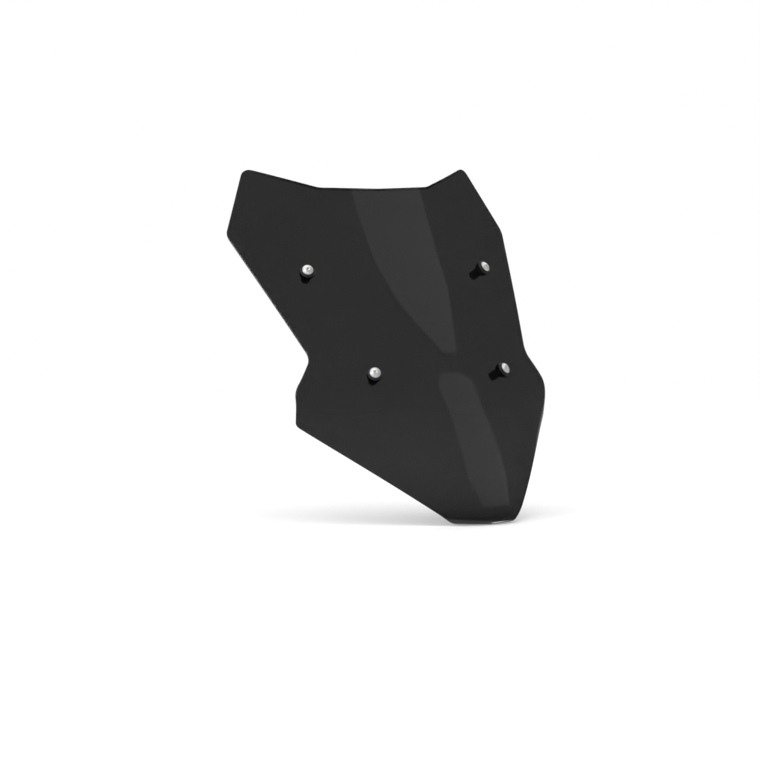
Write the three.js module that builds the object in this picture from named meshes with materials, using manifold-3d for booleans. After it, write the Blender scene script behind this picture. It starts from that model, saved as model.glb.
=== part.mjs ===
// Tall smoked sport windshield for a scooter or motorcycle, with its four rubber-mounted fixings.
//
// Row frame, millimetres: +Z up, the outer (wind) face looks along -Y, the rider sits on the +Y side
// and the rider's left hand is on +X. The origin is half way between the two lower fixings, on the
// plane through the centres of their seating faces.
//
// One formed acrylic sheet is held by four identical stacks. Each stack, from the wind side in, is a
// flanged button-head screw, a nylon washer, a two-flanged grommet sitting in a hole of the sheet, a
// metal collar that limits how far the grommet is squeezed, and a rubber well nut with a brass insert.

import * as THREE from 'three';
import { ParametricGeometry } from 'three/addons/geometries/ParametricGeometry.js';
import { mergeVertices } from 'three/addons/utils/BufferGeometryUtils.js';
import Module from 'manifold-3d';

const wasm = await Module();
wasm.setup();

// ---------------------------------------------------------------- driving sizes of the sheet
const SHEET_THICKNESS = 3;
const EDGE_BREAK = 0.5; // polished chamfer along both rims of the cut edge

// Centre line of the outer face, as setback against height above the bottom edge.
const CENTRE_LINE = { slope: 0.2899, bend: 0.001913, unbend: 2.684e-6 };
// Curl of the horizontal section: setback grows with the square of the half width.
const SECTION = { top: 0.0014646, nose: 0.0061775, fade: 90.4 };
// The ears flick forward a little where they stand out beside the cowl.
const EAR_FLICK = { depth: 9, innerX: 100, outerX: 160, height: 138, spread: 28 };
// The foot of the sheet is rolled back to meet the cowl.
const FOOT_ROLL = { height: 16, radius: 24 };

// Front outline, half width against height above the bottom edge, each corner with its radius.
const TOP_MIDDLE = { halfWidth: 0, height: 354.8 };
const NOTCH = { halfWidth: 71, height: 356.4, radius: 30 };
const HORN = { halfWidth: 145, height: 377.7, radius: 11 };
const SHOULDER = { halfWidth: 181.7, height: 305, radius: 14 };
const WAIST = { halfWidth: 140.3, height: 174.6, radius: 16 };
const EAR_TOP = { halfWidth: 163, height: 140.5, radius: 24 };
const EAR_TIP = { halfWidth: 161.8, height: 103, radius: 9 };
const FOOT_CORNER = { halfWidth: 40.5, height: 1.4, radius: 14 };
const FOOT_MIDDLE = { halfWidth: 0, height: 0 };

// ---------------------------------------------------------------- driving sizes of a fixing
const UPPER_FIXING = { halfWidth: 115, height: 266 };
const LOWER_FIXING = { halfWidth: 83.4, height: 158.1 };

const GAP = 0.3; // clearance left between pieces that touch
const THREAD_RADIUS = 2.45; // M5 screw over its thread
const SCREW_LENGTH = 20; // from under the head to the tip
const HEAD_FLANGE_RADIUS = 5.9;
const HEAD_FLANGE_THICKNESS = 0.8;
const HEAD_RADIUS = 4.75;
const HEAD_HEIGHT = 2.75;
const HEX_ACROSS_FLATS = 3;
const HEX_DEPTH = 1.7;
const TIP_CHAMFER = 0.7;

const COLLAR_WALL = 1.2;
const GROMMET_WALL = 1.5;
const GROMMET_FLANGE_RADIUS = 7.8;
const GROMMET_FLANGE_THICKNESS = 1;
const WASHER_RADIUS = 7.3;
const WASHER_THICKNESS = 1;

const NUT_FLANGE_RADIUS = 8;
const NUT_FLANGE_THICKNESS = 1.4;
const NUT_BODY_RADIUS = 4.9;
const NUT_BODY_LENGTH = 13;
const INSERT_WALL = 0.9;
const INSERT_LENGTH = 8;

const ROUND_SEGMENTS = 24;

// ---------------------------------------------------------------- sizes that follow from them
const SCREW_CLEARANCE_RADIUS = THREAD_RADIUS + GAP;
const COLLAR_RADIUS = SCREW_CLEARANCE_RADIUS + COLLAR_WALL;
const GROMMET_BORE = COLLAR_RADIUS + GAP;
const GROMMET_NECK = GROMMET_BORE + GROMMET_WALL;
const SHEET_HOLE_RADIUS = GROMMET_NECK + GAP;

// Heights along the screw, measured out from the outer face of the sheet.
const GROMMET_OUTER_FACE = GAP + GROMMET_FLANGE_THICKNESS;
const GROMMET_INNER_FACE = -SHEET_THICKNESS - GAP - GROMMET_FLANGE_THICKNESS;
const COLLAR_OUTER_END = GROMMET_OUTER_FACE + GAP / 2;
const COLLAR_INNER_END = GROMMET_INNER_FACE - GAP / 2;
const WASHER_BACK = COLLAR_OUTER_END + GAP;
const HEAD_SEAT = WASHER_BACK + WASHER_THICKNESS + GAP;
const NUT_FLANGE_FRONT = COLLAR_INNER_END - GAP;
const NUT_SEAT = NUT_FLANGE_FRONT - NUT_FLANGE_THICKNESS;
const NUT_END = NUT_SEAT - NUT_BODY_LENGTH;
const INSERT_RADIUS = SCREW_CLEARANCE_RADIUS + INSERT_WALL;
const INSERT_POCKET_RADIUS = INSERT_RADIUS + GAP;

// ---------------------------------------------------------------- the formed surface
const smooth = (t) => THREE.MathUtils.smoothstep(t, 0, 1);

/** Setback (+Y) of the outer face at a half width x and a height z above the bottom edge. */
function setback(x, z) {
  const centre = CENTRE_LINE.slope * z + CENTRE_LINE.bend * z ** 2 - CENTRE_LINE.unbend * z ** 3;
  const curl = SECTION.top + SECTION.nose * Math.exp(-z / SECTION.fade);
  const across = smooth((Math.abs(x) - EAR_FLICK.innerX) / (EAR_FLICK.outerX - EAR_FLICK.innerX));
  const along = Math.exp(-(((z - EAR_FLICK.height) / EAR_FLICK.spread) ** 2));
  const below = Math.max(0, FOOT_ROLL.height - z);
  const roll = below ** 2 / (2 * FOOT_ROLL.radius);
  return centre + curl * x ** 2 - EAR_FLICK.depth * across * along + roll;
}

/** Outward normal of the outer face, towards the wind. */
function outward(x, z) {
  const h = 0.05;
  const gx = (setback(x + h, z) - setback(x - h, z)) / (2 * h);
  const gz = (setback(x, z + h) - setback(x, z - h)) / (2 * h);
  return new THREE.Vector3(gx, -1, gz).normalize();
}

/** A point of the sheet: on the outer face for depth 0, on the inner face for the full thickness. */
function sheetPoint(x, z, depth) {
  return new THREE.Vector3(x, setback(x, z), z).addScaledVector(outward(x, z), -depth);
}

// ---------------------------------------------------------------- the front outline
/** Points along the arc that rounds one corner, from the side of before to the side of after. */
function roundedCorner(before, corner, after) {
  const c = new THREE.Vector2(corner.halfWidth, corner.height);
  const a = new THREE.Vector2(before.halfWidth, before.height).sub(c).normalize();
  const b = new THREE.Vector2(after.halfWidth, after.height).sub(c).normalize();
  const half = Math.acos(THREE.MathUtils.clamp(a.dot(b), -1, 1)) / 2;
  const middle = a.clone().add(b).normalize().multiplyScalar(corner.radius / Math.sin(half));
  const centre = c.clone().add(middle);
  const reach = corner.radius / Math.tan(half);
  const start = c.clone().addScaledVector(a, reach).sub(centre);
  const end = c.clone().addScaledVector(b, reach).sub(centre);
  const turn = Math.atan2(start.cross(end), start.dot(end));
  const steps = Math.max(3, Math.ceil(Math.abs(turn) / 0.34));
  const origin = new THREE.Vector2();
  return Array.from({ length: steps + 1 }, (_, i) =>
    start.clone().rotateAround(origin, (turn * i) / steps).add(centre));
}

/** Right-hand half of the outline, from the middle of the top edge to the middle of the foot. */
function halfOutline() {
  const corners = [TOP_MIDDLE, NOTCH, HORN, SHOULDER, WAIST, EAR_TOP, EAR_TIP, FOOT_CORNER, FOOT_MIDDLE];
  const points = [new THREE.Vector2(0, TOP_MIDDLE.height)];
  const longestStep = 12;
  const straightTo = (target) => {
    const from = points[points.length - 1];
    const steps = Math.ceil(from.distanceTo(target) / longestStep);
    for (let i = 1; i <= steps; i += 1) points.push(from.clone().lerp(target, i / steps));
  };
  for (let i = 1; i < corners.length - 1; i += 1) {
    const [first, ...rest] = roundedCorner(corners[i - 1], corners[i], corners[i + 1]);
    straightTo(first);
    points.push(...rest);
  }
  straightTo(new THREE.Vector2(0, FOOT_MIDDLE.height));
  return points;
}

/** Closed outline, each point with the point of the centre line that its spoke runs in to. */
function outlineWithSpine() {
  const half = halfOutline();
  const travelled = [0];
  for (let i = 1; i < half.length; i += 1) {
    travelled.push(travelled[i - 1] + half[i].distanceTo(half[i - 1]));
  }
  const total = travelled[half.length - 1];
  const spineTop = TOP_MIDDLE.height * 0.85;
  const spineFoot = TOP_MIDDLE.height * 0.15;
  const right = half.map((p, i) => ({
    x: i === 0 || i === half.length - 1 ? 0 : p.x,
    z: p.y,
    spine: THREE.MathUtils.lerp(spineTop, spineFoot, travelled[i] / total),
  }));
  const left = right.slice(1, -1).reverse().map((p) => ({ ...p, x: -p.x }));
  return [...right, ...left];
}

// ---------------------------------------------------------------- solids
/** Manifold solid of a three.js geometry. */
function solidOf(geometry) {
  const bare = geometry.clone();
  bare.deleteAttribute('normal');
  bare.deleteAttribute('uv');
  const merged = mergeVertices(bare, 1e-4);
  const index = Array.from(merged.index.array);
  const position = merged.attributes.position;
  const kept = [];
  for (let i = 0; i < index.length; i += 3) {
    const [a, b, c] = index.slice(i, i + 3);
    if (a !== b && b !== c && c !== a) kept.push(a, b, c);
  }
  return new wasm.Manifold(new wasm.Mesh({
    numProp: 3,
    vertProperties: new Float32Array(position.array),
    triVerts: new Uint32Array(kept),
  }));
}

/** three.js geometry of a manifold solid. */
function geometryOf(solid) {
  const mesh = solid.getMesh();
  const geometry = new THREE.BufferGeometry();
  geometry.setAttribute('position', new THREE.BufferAttribute(mesh.vertProperties, 3));
  geometry.setIndex(new THREE.BufferAttribute(mesh.triVerts, 1));
  geometry.computeVertexNormals();
  return geometry;
}

/** Solid of revolution about +Z from a closed ring of [radius, height] corners, anticlockwise. */
function turned(ring) {
  const profile = [...ring, ring[0]].map(([r, h]) => new THREE.Vector2(r, h));
  const geometry = new THREE.LatheGeometry(profile, ROUND_SEGMENTS);
  geometry.rotateX(Math.PI / 2);
  return solidOf(geometry);
}

/** Plain round bar along +Z between two heights. */
function bar(radius, low, high, segments = ROUND_SEGMENTS) {
  const geometry = new THREE.CylinderGeometry(radius, radius, high - low, segments);
  geometry.rotateX(Math.PI / 2);
  geometry.translate(0, 0, (low + high) / 2);
  return solidOf(geometry);
}

/** The trimmed sheet, before its holes are bored: outer face, polished edge, inner face. */
function sheetBlank() {
  const outline = outlineWithSpine();
  const rings = [0, 0.16, 0.31, 0.42, 0.48, 0.52, 0.56, 0.6, 0.64, 0.68, 0.72, 0.79, 0.86, 0.93, 0.97];
  const skin = (depth) => rings.map((reach) => ({ reach, inset: 0, depth }));
  const T = SHEET_THICKNESS;
  const edge = [
    { reach: 1, inset: EDGE_BREAK, depth: 0 },
    { reach: 1, inset: 0, depth: EDGE_BREAK },
    { reach: 1, inset: 0, depth: T - EDGE_BREAK },
    { reach: 1, inset: EDGE_BREAK, depth: T },
  ];
  const section = [...skin(0), ...edge, ...skin(T).reverse()];
  const around = outline.length;
  const along = section.length - 1;
  const surface = (u, v, target) => {
    const rim = outline[Math.round(u * around) % around];
    const { reach, inset, depth } = section[Math.round(v * along)];
    const spoke = Math.hypot(rim.x, rim.z - rim.spine);
    const t = reach - inset / spoke;
    const x = rim.x * t;
    const z = rim.spine + (rim.z - rim.spine) * t;
    target.copy(sheetPoint(x, z, depth));
  };
  return solidOf(new ParametricGeometry(surface, around, along));
}

/** Frame of one fixing: origin on the outer face at the hole centre, +Z along the outward normal. */
function fixingFrame(side, { halfWidth, height }) {
  const x = side * halfWidth;
  const normal = outward(x, height);
  const frame = new THREE.Object3D();
  frame.position.copy(sheetPoint(x, height, 0));
  frame.quaternion.setFromUnitVectors(new THREE.Vector3(0, 0, 1), normal);
  frame.updateMatrix();
  return frame;
}

function flangedScrew() {
  const top = HEAD_SEAT + HEAD_HEIGHT;
  const rim = HEAD_SEAT + HEAD_FLANGE_THICKNESS;
  const tip = HEAD_SEAT - SCREW_LENGTH;
  const domeSteps = 4;
  const dome = Array.from({ length: domeSteps + 1 }, (_, i) => {
    const angle = (i / domeSteps) * THREE.MathUtils.degToRad(64);
    const rise = Math.sin(angle) / Math.sin(THREE.MathUtils.degToRad(64));
    return [HEAD_RADIUS * Math.cos(angle), rim + (top - rim) * rise];
  });
  const profile = [
    [0, tip],
    [THREAD_RADIUS - TIP_CHAMFER, tip],
    [THREAD_RADIUS, tip + TIP_CHAMFER],
    [THREAD_RADIUS, HEAD_SEAT],
    [HEAD_FLANGE_RADIUS, HEAD_SEAT],
    [HEAD_FLANGE_RADIUS - 0.15, rim],
    ...dome,
    [0, top],
  ];
  const geometry = new THREE.LatheGeometry(profile.map(([r, h]) => new THREE.Vector2(r, h)), ROUND_SEGMENTS);
  geometry.rotateX(Math.PI / 2);
  const acrossCorners = HEX_ACROSS_FLATS / Math.cos(Math.PI / 6);
  const socket = bar(acrossCorners / 2, top - HEX_DEPTH, top + 1, 6);
  return solidOf(geometry).subtract(socket);
}

function nylonWasher() {
  const top = WASHER_BACK + WASHER_THICKNESS;
  const inner = SCREW_CLEARANCE_RADIUS;
  return turned([
    [inner, WASHER_BACK],
    [WASHER_RADIUS, WASHER_BACK],
    [WASHER_RADIUS, top - 0.35],
    [WASHER_RADIUS - 0.35, top],
    [inner, top],
  ]);
}

function grommet() {
  return turned([
    [GROMMET_BORE, GROMMET_INNER_FACE],
    [GROMMET_FLANGE_RADIUS, GROMMET_INNER_FACE],
    [GROMMET_FLANGE_RADIUS, -SHEET_THICKNESS - GAP],
    [GROMMET_NECK, -SHEET_THICKNESS - GAP],
    [GROMMET_NECK, GAP],
    [GROMMET_FLANGE_RADIUS, GAP],
    [GROMMET_FLANGE_RADIUS, GROMMET_OUTER_FACE],
    [GROMMET_BORE, GROMMET_OUTER_FACE],
  ]);
}

function collar() {
  return turned([
    [SCREW_CLEARANCE_RADIUS, COLLAR_INNER_END],
    [COLLAR_RADIUS, COLLAR_INNER_END],
    [COLLAR_RADIUS, COLLAR_OUTER_END],
    [SCREW_CLEARANCE_RADIUS, COLLAR_OUTER_END],
  ]);
}

function wellNutRubber() {
  const pocketFront = NUT_END + INSERT_LENGTH + 2 * GAP;
  return turned([
    [SCREW_CLEARANCE_RADIUS, pocketFront],
    [INSERT_POCKET_RADIUS, pocketFront],
    [INSERT_POCKET_RADIUS, NUT_END],
    [NUT_BODY_RADIUS, NUT_END],
    [NUT_BODY_RADIUS, NUT_SEAT],
    [NUT_FLANGE_RADIUS, NUT_SEAT],
    [NUT_FLANGE_RADIUS, NUT_FLANGE_FRONT],
    [SCREW_CLEARANCE_RADIUS, NUT_FLANGE_FRONT],
  ]);
}

function wellNutInsert() {
  const end = NUT_END + GAP;
  const front = end + INSERT_LENGTH;
  return turned([
    [SCREW_CLEARANCE_RADIUS, end],
    [INSERT_RADIUS, end],
    [INSERT_RADIUS, front],
    [SCREW_CLEARANCE_RADIUS, front],
  ]);
}

// ---------------------------------------------------------------- finishes
const FINISH = {
  smokedAcrylic: { color: 0x2c2d30, roughness: 0.05, metalness: 0, transparent: true, opacity: 0.82 },
  stainless: { color: 0xc9cacc, roughness: 0.28, metalness: 1 },
  blackNylon: { color: 0x17171a, roughness: 0.45, metalness: 0 },
  grommetRubber: { color: 0x131315, roughness: 0.85, metalness: 0 },
  zincSteel: { color: 0xb4b7ba, roughness: 0.35, metalness: 1 },
  nutRubber: { color: 0x1b1b1c, roughness: 0.8, metalness: 0 },
  brass: { color: 0xb8923f, roughness: 0.3, metalness: 1 },
};

function piece(name, solid, finish) {
  const mesh = new THREE.Mesh(geometryOf(solid), new THREE.MeshStandardMaterial(FINISH[finish]));
  mesh.name = name;
  return mesh;
}

// ---------------------------------------------------------------- assembly
const FIXINGS = [
  { name: 'upper_left', side: 1, at: UPPER_FIXING },
  { name: 'upper_right', side: -1, at: UPPER_FIXING },
  { name: 'lower_left', side: 1, at: LOWER_FIXING },
  { name: 'lower_right', side: -1, at: LOWER_FIXING },
];

const STACK = [
  { suffix: 'screw', make: flangedScrew, finish: 'stainless' },
  { suffix: 'nylon_washer', make: nylonWasher, finish: 'blackNylon' },
  { suffix: 'grommet', make: grommet, finish: 'grommetRubber' },
  { suffix: 'collar', make: collar, finish: 'zincSteel' },
  { suffix: 'well_nut_rubber', make: wellNutRubber, finish: 'nutRubber' },
  { suffix: 'well_nut_insert', make: wellNutInsert, finish: 'brass' },
];

const kit = new THREE.Group();
kit.name = 'windshield_screen';

let sheet = sheetBlank();
const drill = bar(SHEET_HOLE_RADIUS, -4 * SHEET_THICKNESS, 4 * SHEET_THICKNESS);
for (const { side, at } of FIXINGS) {
  const frame = fixingFrame(side, at);
  sheet = sheet.subtract(drill.transform(frame.matrix.elements));
}
kit.add(piece('screen_panel', sheet, 'smokedAcrylic'));

for (const { name, side, at } of FIXINGS) {
  const frame = fixingFrame(side, at);
  const stack = new THREE.Group();
  stack.name = `${name}_fixing`;
  stack.position.copy(frame.position);
  stack.quaternion.copy(frame.quaternion);
  for (const { suffix, make, finish } of STACK) {
    stack.add(piece(`${name}_${suffix}`, make(), finish));
  }
  kit.add(stack);
}

// The origin is midway between the lower fixings, on the plane through their seating faces.
const seat = sheetPoint(LOWER_FIXING.halfWidth, LOWER_FIXING.height, -NUT_SEAT);
kit.position.set(0, -seat.y, -seat.z);

export default kit;
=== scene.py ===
"""Dresses a tall smoked sport windshield and its four rubber-mounted fixings.

Sizes are in millimetres until a mesh is made, and the frame is the CAD frame: +Z up, the outer (wind)
face towards -Y, the rider on the +Y side with the left hand on +X.
"""

from __future__ import annotations

import logging
import math
from dataclasses import dataclass, field
from enum import Enum
from typing import Callable, Sequence

import bmesh
import bpy
import numpy as np
from mathutils import Matrix, Vector

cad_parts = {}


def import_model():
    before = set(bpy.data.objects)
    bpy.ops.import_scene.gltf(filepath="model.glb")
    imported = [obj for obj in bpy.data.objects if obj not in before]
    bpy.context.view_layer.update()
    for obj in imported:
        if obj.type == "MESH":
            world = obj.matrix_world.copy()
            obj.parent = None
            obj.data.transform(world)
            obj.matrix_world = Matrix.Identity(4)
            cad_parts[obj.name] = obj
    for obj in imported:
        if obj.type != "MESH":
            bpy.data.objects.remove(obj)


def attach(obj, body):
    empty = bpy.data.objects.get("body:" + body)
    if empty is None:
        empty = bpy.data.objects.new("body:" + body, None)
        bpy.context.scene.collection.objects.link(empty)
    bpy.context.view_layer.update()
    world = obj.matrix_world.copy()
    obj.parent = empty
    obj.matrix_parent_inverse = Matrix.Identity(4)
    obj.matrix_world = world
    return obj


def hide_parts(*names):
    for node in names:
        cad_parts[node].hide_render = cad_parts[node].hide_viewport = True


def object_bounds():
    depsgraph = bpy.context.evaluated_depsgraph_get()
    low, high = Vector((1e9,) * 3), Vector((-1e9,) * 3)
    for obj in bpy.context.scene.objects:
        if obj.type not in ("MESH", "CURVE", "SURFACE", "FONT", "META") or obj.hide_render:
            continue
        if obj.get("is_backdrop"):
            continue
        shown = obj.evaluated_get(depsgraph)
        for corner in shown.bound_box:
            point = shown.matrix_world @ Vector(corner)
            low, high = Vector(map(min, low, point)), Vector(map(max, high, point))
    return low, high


LOG = logging.getLogger("windshield")
MM = 0.001
TURN = 2 * math.pi
GAP = 0.3  # clearance between pieces that touch, mm
MERGE = 2e-7  # vertices closer than this become one, m
SLIVER = 1e-8  # edges shorter than this are dissolved, m
ROUNDING = 1e-9  # what arithmetic may leave of a zero

Triple = tuple[float, float, float]
Sockets = dict[str | int, object]
Shaper = Callable[[np.ndarray, np.ndarray, np.ndarray], np.ndarray]


# ------------------------------------------------------------------------------ arrays and meshes
def unit(v: np.ndarray) -> np.ndarray:
    """Scales vectors in the last axis to length one."""
    return v / np.linalg.norm(v, axis=-1, keepdims=True)


def lengths_along(line: np.ndarray) -> np.ndarray:
    """Distance of each point of a line from its first point, summed along the line."""
    return np.concatenate([[0], np.cumsum(np.linalg.norm(np.diff(line, axis=0), axis=1))])


def points_at(line: np.ndarray, at: np.ndarray) -> np.ndarray:
    """Finds points of a plane line by their distance along it.

    Args:
        line: two coordinates for each point of the line.
        at: distances along the line.

    Returns:
        Two coordinates for each distance, straight between the line's own points.
    """
    along = lengths_along(line)
    return np.stack([np.interp(at, along, line[:, 0]), np.interp(at, along, line[:, 1])], -1)


def grid_faces(rows: int, columns: int) -> np.ndarray:
    """Quads that join a grid of points whose last row meets the first again.

    Args:
        rows: points along the first parameter, round the closed way.
        columns: points along the second parameter.

    Returns:
        An array of four vertex indices for each quad.
    """
    i = np.arange(rows)[:, None]
    j = np.arange(columns - 1)[None, :]
    here, there = i * columns + j, (i + 1) % rows * columns + j
    return np.stack([here, there, there + 1, here + 1], -1).reshape(-1, 4)


def read(
    items: bpy.types.bpy_prop_collection, attribute: str, width: int, kind: type = float
) -> np.ndarray:
    """Reads one attribute of all of a mesh's vertices, corners or faces.

    Args:
        items: the mesh's collection.
        attribute: the attribute's name.
        width: numbers in each value.
        kind: the array's number type.

    Returns:
        One row for each item.
    """
    values = np.empty(len(items) * width, kind)
    items.foreach_get(attribute, values)
    return values.reshape(-1, width)


def add_object(name: str, data: bpy.types.ID) -> bpy.types.Object:
    """Makes an object of the data at the origin.

    Args:
        name: the object's name.
        data: its mesh, camera or light.

    Returns:
        The object, in the scene.
    """
    made = bpy.data.objects.new(name, data)
    bpy.context.scene.collection.objects.link(made)
    return made


def add_aimed(name: str, data: bpy.types.ID, place: Sequence[float], ahead: Vector) -> bpy.types.Object:
    """Adds a camera or a light that looks one way.

    Args:
        name: the object's name.
        data: the camera or light.
        place: where it stands, in metres.
        ahead: the direction in which it looks.

    Returns:
        The object, in the scene.
    """
    made = add_object(name, data)
    made.location = place
    made.rotation_mode = "QUATERNION"
    made.rotation_quaternion = ahead.to_track_quat("-Z", "Y")
    return made


def mesh_object(
    name: str, points: np.ndarray, quads: np.ndarray, uv: np.ndarray | None = None
) -> bpy.types.Object:
    """Makes a smooth-shaded object from points in millimetres.

    Args:
        name: the piece's name.
        points: one row of x, y, z for each vertex.
        quads: four vertex indices for each face.
        uv: one row of u, v for each corner of each face, in face order, or None.

    Returns:
        The object, at the origin, with its place in its mesh and doubles merged.
    """
    mesh = bpy.data.meshes.new(name)
    mesh.from_pydata((points * MM).tolist(), [], quads.tolist())
    if uv is not None:
        mesh.uv_layers.new(name="along").data.foreach_set("uv", uv.astype(np.float32).ravel())
    work = bmesh.new()
    work.from_mesh(mesh)
    bmesh.ops.remove_doubles(work, verts=work.verts, dist=MERGE)
    bmesh.ops.dissolve_degenerate(work, edges=work.edges, dist=SLIVER)
    bmesh.ops.recalc_face_normals(work, faces=work.faces)
    work.to_mesh(mesh)
    work.free()
    mesh.polygons.foreach_set("use_smooth", np.ones(len(mesh.polygons), bool))
    return add_object(name, mesh)


def finish_piece(
    piece: bpy.types.Object, material: bpy.types.Material, nodes: Sequence[str]
) -> bpy.types.Object:
    """Gives a piece its material, its body and the CAD nodes that it stands for.

    Args:
        piece: the finished object.
        material: its surface.
        nodes: CAD nodes that the piece replaces.

    Returns:
        The same object.
    """
    piece.data.materials.clear()
    piece.data.materials.append(material)
    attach(piece, "root")
    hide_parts(*nodes)
    LOG.info("%s: %d vertices, stands for %s", piece.name, len(piece.data.vertices), ", ".join(nodes))
    return piece


# ------------------------------------------------------------------------------ finishes
class Graph:
    """A short way to write the node tree of a material or of the world."""

    def __init__(self, owner: bpy.types.Material | bpy.types.World) -> None:
        """Empties the owner's tree down to its output node.

        Args:
            owner: the material or world.
        """
        self.owner = owner
        owner.use_nodes = True
        self.tree = owner.node_tree
        self.tree.nodes.clear()
        self.out = self.node("OutputWorld" if isinstance(owner, bpy.types.World) else "OutputMaterial")

    def node(self, kind: str, inputs: Sockets | None = None, **settings: object) -> bpy.types.Node:
        """Adds a node.

        Args:
            kind: node type without its ShaderNode prefix.
            inputs: socket name or number to a plain value or to the socket that feeds it.
            settings: the node's own properties.

        Returns:
            The node.
        """
        made = self.tree.nodes.new("ShaderNode" + kind)
        for key, value in settings.items():
            setattr(made, key, value)
        for key, value in (inputs or {}).items():
            if isinstance(value, bpy.types.NodeSocket):
                self.tree.links.new(value, made.inputs[key])
            else:
                made.inputs[key].default_value = value
        return made

    def place(self, scale: Sequence[float] = (1, 1, 1), uv: str | None = None) -> bpy.types.NodeSocket:
        """Gives the coordinates that a pattern follows.

        Args:
            scale: what each coordinate is multiplied by.
            uv: the UV map to read, or None for the object's own metres.

        Returns:
            The scaled coordinates.
        """
        if uv:
            source = self.node("UVMap", uv_map=uv).outputs["UV"]
        else:
            source = self.node("TexCoord").outputs["Object"]
        return self.node("Mapping", {"Vector": source, "Scale": scale}).outputs["Vector"]

    def noise(self, where: bpy.types.NodeSocket, scale: float, detail: float) -> bpy.types.NodeSocket:
        """Fractal noise around one half, with that many octaves of detail."""
        return self.node("TexNoise", {"Vector": where, "Scale": scale, "Detail": detail}).outputs["Fac"]

    def both(
        self, operation: str, first: bpy.types.NodeSocket, second: bpy.types.NodeSocket
    ) -> bpy.types.NodeSocket:
        """Two patterns joined by an operation of the Math node."""
        return self.node("Math", {0: first, 1: second}, operation=operation).outputs["Value"]

    def spread(
        self,
        value: bpy.types.NodeSocket,
        low: float,
        high: float,
        start: float = 0.3,
        end: float = 0.7,
        curve: str = "LINEAR",
    ) -> bpy.types.NodeSocket:
        """Maps a pattern on to a range, clamped.

        Args:
            value: the pattern.
            low: result at start and before it.
            high: result at end and after it.
            start: value of the pattern where the change begins.
            end: value of the pattern where the change is complete.
            curve: the Map Range node's interpolation.

        Returns:
            The mapped pattern.
        """
        sockets = {"Value": value, "From Min": start, "From Max": end, "To Min": low, "To Max": high}
        return self.node("MapRange", sockets, interpolation_type=curve).outputs["Result"]

    def tint(self, value: bpy.types.NodeSocket, dark: Triple, light: Triple) -> bpy.types.NodeSocket:
        """A colour between two tints, by a pattern from 0 to 1."""
        colours = {0: value, 6: (*dark, 1.0), 7: (*light, 1.0)}
        return self.node("Mix", colours, data_type="RGBA").outputs[2]

    def bump(self, height: bpy.types.NodeSocket, strength: float, distance: float) -> bpy.types.NodeSocket:
        """A surface normal disturbed by a height pattern, distance in metres."""
        sockets = {"Height": height, "Strength": strength, "Distance": distance}
        return self.node("Bump", sockets).outputs["Normal"]

    def close(self, shader: bpy.types.NodeSocket) -> bpy.types.Material | bpy.types.World:
        """Feeds a shader to the output, and gives the owner of the tree back."""
        self.tree.links.new(shader, self.out.inputs["Surface"])
        return self.owner

    def surface(self, inputs: Sockets) -> bpy.types.Material:
        """Closes the tree with one principled surface, and gives the material back."""
        return self.close(self.node("BsdfPrincipled", inputs).outputs["BSDF"])


def material_graph(name: str) -> Graph:
    """Starts the node tree of a new material."""
    return Graph(bpy.data.materials.new(name))


@dataclass(frozen=True)
class SmokedAcrylic:
    """Clear-polished acrylic, dyed dark through its thickness. Scales are pattern sizes to a metre."""

    clear_tint: Triple = (0.0290, 0.0290, 0.0291)
    deep_tint: Triple = (0.0268, 0.0268, 0.0269)
    refraction: float = 1.49
    polished: float = 0.0
    handled: float = 0.035
    dusty: float = 0.25
    drift_scale: Triple = (6, 6, 6)
    wiping_scale: Triple = (30, 30, 420)
    dust_scale: float = 900.0
    dust_radius: float = 0.06
    wave_scale: Triple = (9, 9, 9)
    wave_strength: float = 0.12
    wave_height: float = 0.0012

    def build(self) -> bpy.types.Material:
        """Lays slow forming waves, a faint drift of the dye, wiping marks and settled dust.

        Returns:
            The material.
        """
        g = material_graph("smoked_acrylic")
        drift = g.noise(g.place(self.drift_scale), 1.0, 2.0)
        wiping = g.noise(g.place(self.wiping_scale), 1.0, 4.0)
        dust = g.node("TexVoronoi", {"Vector": g.place(), "Scale": self.dust_scale}).outputs["Distance"]
        specks = g.spread(dust, self.dusty, 0.0, 0.0, self.dust_radius)
        worn = g.spread(wiping, self.polished, self.handled, 0.55, 0.8)
        waves = g.noise(g.place(self.wave_scale), 1.0, 1.0)
        return g.surface({
            "Base Color": g.tint(g.spread(drift, 0, 1), self.deep_tint, self.clear_tint),
            "Transmission Weight": 1.0,
            "IOR": self.refraction,
            "Roughness": g.both("MAXIMUM", worn, specks),
            "Normal": g.bump(waves, self.wave_strength, self.wave_height),
        })


@dataclass(frozen=True)
class TurnedMetal:
    """Metal with fine rings left by a lathe."""

    name: str
    bright: Triple
    dull: Triple
    smooth: float
    rough: float
    metallic: float = 1.0
    rings_per_mm: float = 9.0
    rings_waver: float = 3.0
    mottle_scale: float = 260.0
    marks_scale: float = 1900.0
    relief: float = 0.25
    relief_height: float = 0.00002

    def build(self) -> bpy.types.Material:
        """Lays rings along the profile's length, and a slow mottle that dulls some of the surface.

        Returns:
            The material.
        """
        g = material_graph(self.name)
        rings = g.noise(g.place((self.rings_waver, self.rings_per_mm, 1), uv="along"), 1.0, 2.0)
        mottle = g.noise(g.place(), self.mottle_scale, 4.0)
        marks = g.noise(g.place(), self.marks_scale, 2.0)
        return g.surface({
            "Base Color": g.tint(g.spread(mottle, 0, 1), self.dull, self.bright),
            "Metallic": self.metallic,
            "Roughness": g.spread(g.both("MULTIPLY", rings, mottle), self.smooth, self.rough, 0.12, 0.4),
            "Normal": g.bump(g.both("ADD", rings, marks), self.relief, self.relief_height),
        })


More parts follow.
